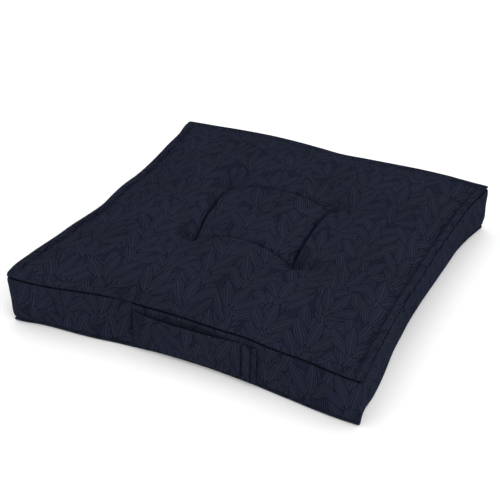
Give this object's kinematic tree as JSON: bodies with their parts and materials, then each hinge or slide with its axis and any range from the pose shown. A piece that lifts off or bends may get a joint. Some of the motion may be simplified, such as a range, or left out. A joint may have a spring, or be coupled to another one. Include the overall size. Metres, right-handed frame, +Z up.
{
  "type": "seat cushion",
  "caption": "Square mattress-style seat cushion in dark leaf-pattern cloth, with stitched edge rolls, corner ears, twine tufts and a pull-out cloth strap handle on one side.",
  "frame": {"origin": "on the floor, under the middle of the cushion", "axes": "+Z up from the floor through the upper panel, -Y towards the side with the strap handle, X along that side"},
  "size_m": [0.5, 0.5, 0.0895],
  "materials": {
    "cover_cloth": "matt woven cotton blend, dark navy with a tone-on-tone printed leaf pattern",
    "thread": "twisted dark navy sewing thread",
    "wadding": "white polyester wadding",
    "foam": "open-cell polyurethane foam",
    "twine": "waxed dark navy tufting twine",
    "button": "moulded matt plastic",
    "label": "plain white woven tape with no text"
  },
  "bodies": {
    "cushion": {"top_panel": "cover_cloth", "bottom_panel": "cover_cloth", "front_boxing": "cover_cloth", "right_boxing": "cover_cloth", "rear_boxing": "cover_cloth", "left_boxing": "cover_cloth", "top_edge_stitching": "thread", "bottom_edge_stitching": "thread", "top_edge_filler": "wadding", "bottom_edge_filler": "wadding", "top_wadding": "wadding", "foam_core": "foam", "bottom_wadding": "wadding", "tuft_button_1": "button", "tuft_button_2": "button", "tuft_button_3": "button", "tuft_button_4": "button", "tuft_twine_1": "twine", "tuft_twine_2": "twine", "tuft_twine_3": "twine", "tuft_twine_4": "twine", "handle_left_tab": "cover_cloth", "handle_left_run": "cover_cloth", "handle_right_run": "cover_cloth", "handle_right_tab": "cover_cloth", "handle_left_stitching": "thread", "handle_right_stitching": "thread", "handle_left_backing": "cover_cloth", "handle_right_backing": "cover_cloth", "closing_stitching": "thread", "care_label": "label"},
    "handle": {"handle_grip": "cover_cloth"}
  },
  "joints": [
    {"name": "handle_pull", "type": "slide", "parent": "cushion", "child": "handle", "axis": [0, -1, 0], "range_m": [-0.006, 0.012], "deforming": ["handle_left_run", "handle_right_run"]}
  ]
}
